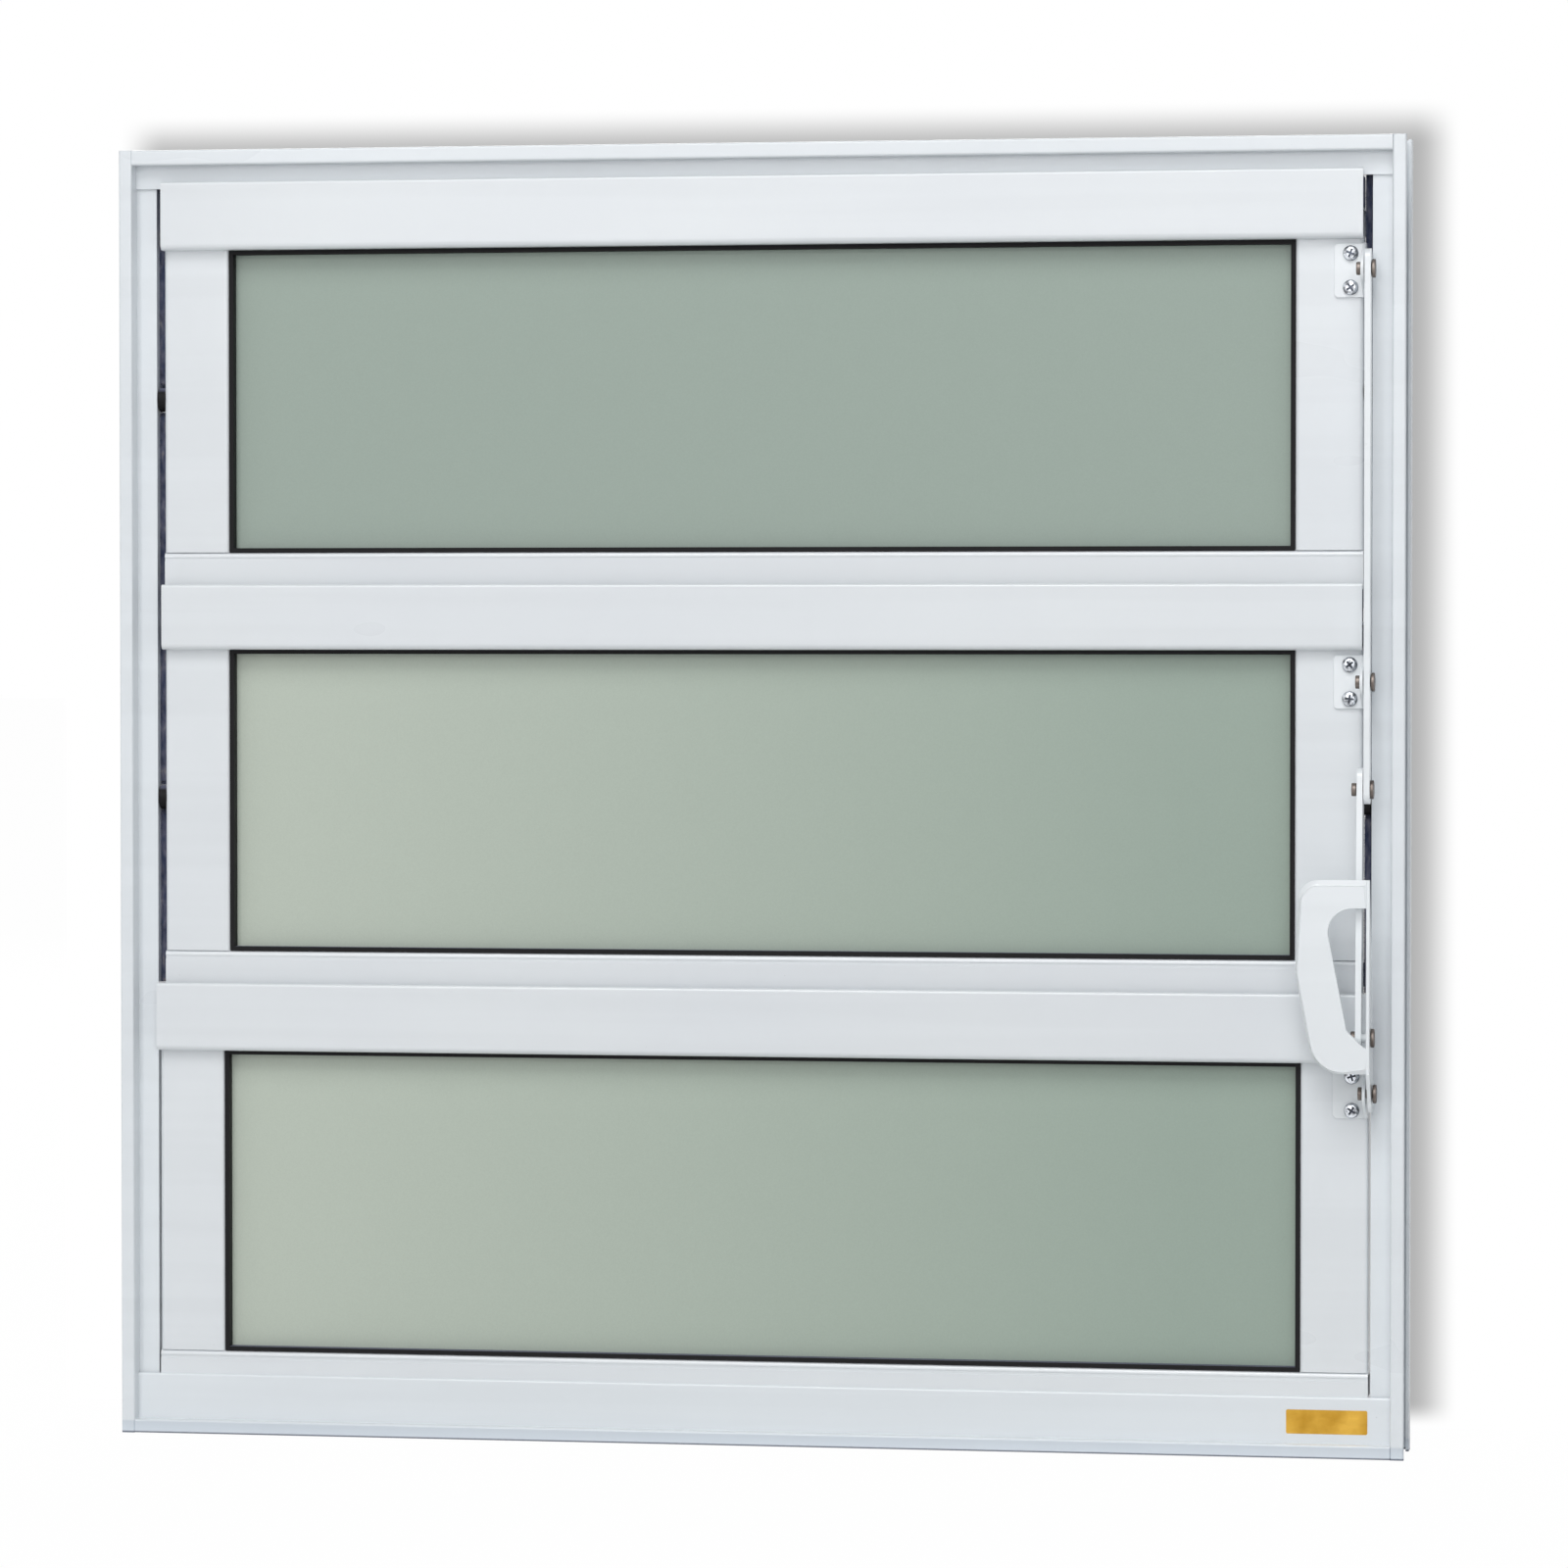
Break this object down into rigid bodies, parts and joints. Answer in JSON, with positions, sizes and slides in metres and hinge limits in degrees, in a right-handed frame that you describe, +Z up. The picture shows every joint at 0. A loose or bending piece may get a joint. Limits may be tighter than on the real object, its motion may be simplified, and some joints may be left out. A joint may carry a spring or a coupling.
{
  "type": "horizontal pivot window",
  "caption": "White aluminium horizontal pivot window: the upper sashes tilt together by a side lever and flat link bars above a fixed sash, all with satin glass.",
  "frame": {"origin": "middle of the sill's underside, on the outer frame's flat bottom face", "axes": "+X to the right seen from the room, along the sill; +Y away from the room, through the wall; +Z up"},
  "size_m": [0.6, 0.0653, 0.6],
  "materials": {
    "white_frame": "satin",
    "white_sash": "satin",
    "white_hardware": "satin",
    "gasket": "matte",
    "satin_glass": "matte",
    "bush": "matte",
    "pile": "matte",
    "rivet": "satin"
  },
  "bodies": {
    "frame": {"left_jamb": "white_frame", "right_jamb": "white_frame", "head": "white_frame", "sill": "white_frame", "left_brush_seal": "pile", "right_brush_seal": "pile", "pivot_pins": "rivet", "fixed_sash_top_rail": "white_sash", "fixed_sash_bottom_rail": "white_sash", "fixed_sash_left_stile": "white_sash", "fixed_sash_right_stile": "white_sash", "fixed_sash_gasket": "gasket", "fixed_sash_glass": "satin_glass", "fixed_sash_bracket": "white_hardware", "fixed_sash_rivet": "rivet"},
    "top_sash": {"top_sash_top_rail": "white_sash", "top_sash_bottom_rail": "white_sash", "top_sash_left_stile": "white_sash", "top_sash_right_stile": "white_sash", "top_sash_gasket": "gasket", "top_sash_glass": "satin_glass", "top_sash_bushes": "bush", "top_sash_bracket": "white_hardware", "top_sash_rivet": "rivet"},
    "middle_sash": {"middle_sash_top_rail": "white_sash", "middle_sash_bottom_rail": "white_sash", "middle_sash_left_stile": "white_sash", "middle_sash_right_stile": "white_sash", "middle_sash_gasket": "gasket", "middle_sash_glass": "satin_glass", "middle_sash_bushes": "bush", "middle_sash_bracket": "white_hardware", "middle_sash_rivet": "rivet"},
    "upper_link": {"upper_link": "white_hardware", "upper_link_rivet": "rivet"},
    "lower_link": {"lower_link": "white_hardware", "lower_link_rivet": "rivet"},
    "lever": {"lever": "white_hardware", "lever_rivet": "rivet"}
  },
  "joints": [
    {"name": "top_sash_pivot", "type": "hinge", "parent": "frame", "child": "top_sash", "pos_m": [0, -0.007, 0.48417], "axis": [1, 0, 0], "range_deg": [0, 45]},
    {"name": "middle_sash_pivot", "type": "hinge", "parent": "frame", "child": "middle_sash", "pos_m": [0, -0.007, 0.2979], "axis": [1, 0, 0], "range_deg": [0, 45]},
    {"name": "upper_link_pin", "type": "hinge", "parent": "top_sash", "child": "upper_link", "pos_m": [0.2835, -0.0286, 0.5391], "axis": [1, 0, 0], "range_deg": [-45, 0]},
    {"name": "lower_link_pin", "type": "hinge", "parent": "upper_link", "child": "lower_link", "pos_m": [0.28195, -0.0286, 0.30433], "axis": [1, 0, 0], "range_deg": [0, 7.38]},
    {"name": "lever_pivot", "type": "hinge", "parent": "frame", "child": "lever", "pos_m": [0.2837, -0.0265, 0.16672], "axis": [1, 0, 0], "range_deg": [0, 83.36]}
  ],
  "couplings": [
    {"joint": "middle_sash_pivot", "follows": "top_sash_pivot", "ratio": 1},
    {"joint": "upper_link_pin", "follows": "top_sash_pivot", "ratio": -1},
    {"joint": "lower_link_pin", "follows": "top_sash_pivot", "ratio": 0.1639},
    {"joint": "lever_pivot", "follows": "top_sash_pivot", "ratio": 1.8524}
  ]
}
